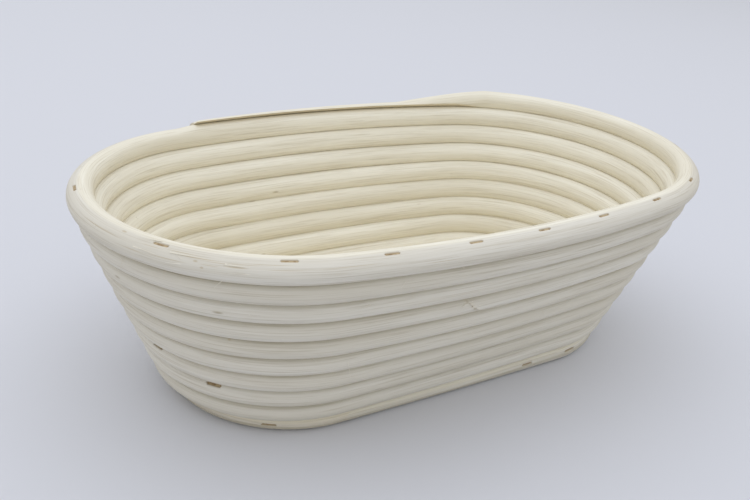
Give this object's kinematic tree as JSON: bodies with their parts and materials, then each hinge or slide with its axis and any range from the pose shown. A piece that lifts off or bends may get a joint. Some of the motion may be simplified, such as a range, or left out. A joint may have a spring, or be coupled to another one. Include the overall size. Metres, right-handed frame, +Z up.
{
  "type": "proofing basket",
  "caption": "Oval bread proofing basket of round cane wound in a flat spiral base and a flared coiled wall, with stapled turns and a rim that tapers off.",
  "frame": {"origin": "middle of the underside of the base, on the table", "axes": "+X along the basket's length, +Y to the back where the rim's cane ends, +Z up"},
  "size_m": [0.25, 0.1503, 0.0818],
  "materials": {
    "cane": "bare pale cane with fine lengthwise fibres",
    "staple_wire": "dull brownish flat wire"
  },
  "bodies": {
    "root": {"core_cane": "cane", "base_cane": "cane", "lower_wall_cane": "cane", "middle_wall_cane": "cane", "rim_cane": "cane", "base_staples": "staple_wire", "outside_staples": "staple_wire", "wall_staples_1": "staple_wire", "wall_staples_2": "staple_wire", "wall_staples_3": "staple_wire", "wall_staples_4": "staple_wire", "wall_staples_5": "staple_wire", "wall_staples_6": "staple_wire", "wall_staples_7": "staple_wire", "wall_staples_8": "staple_wire", "rim_staples": "staple_wire"}
  },
  "joints": []
}
